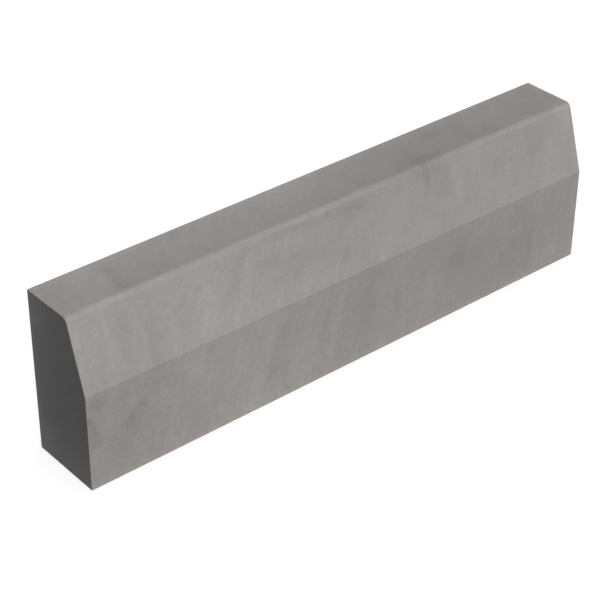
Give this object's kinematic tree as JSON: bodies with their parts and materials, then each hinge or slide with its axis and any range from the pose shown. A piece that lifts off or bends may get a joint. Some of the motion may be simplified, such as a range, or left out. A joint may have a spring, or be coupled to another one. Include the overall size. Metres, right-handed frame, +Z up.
{
  "type": "concrete kerb stone",
  "caption": "Straight half-battered concrete kerb unit with a flat top, a rounded nose and an upright foot, edging a road or path.",
  "frame": {"origin": "centre of the base, on the bed that the kerb stands on", "axes": "+X along the kerb, +Y to its upright back, +Z up; the battered front faces -Y"},
  "size_m": [0.915, 0.12, 0.255],
  "materials": {
    "concrete": "matte"
  },
  "bodies": {
    "root": {"kerb_stone": "concrete"}
  },
  "joints": []
}
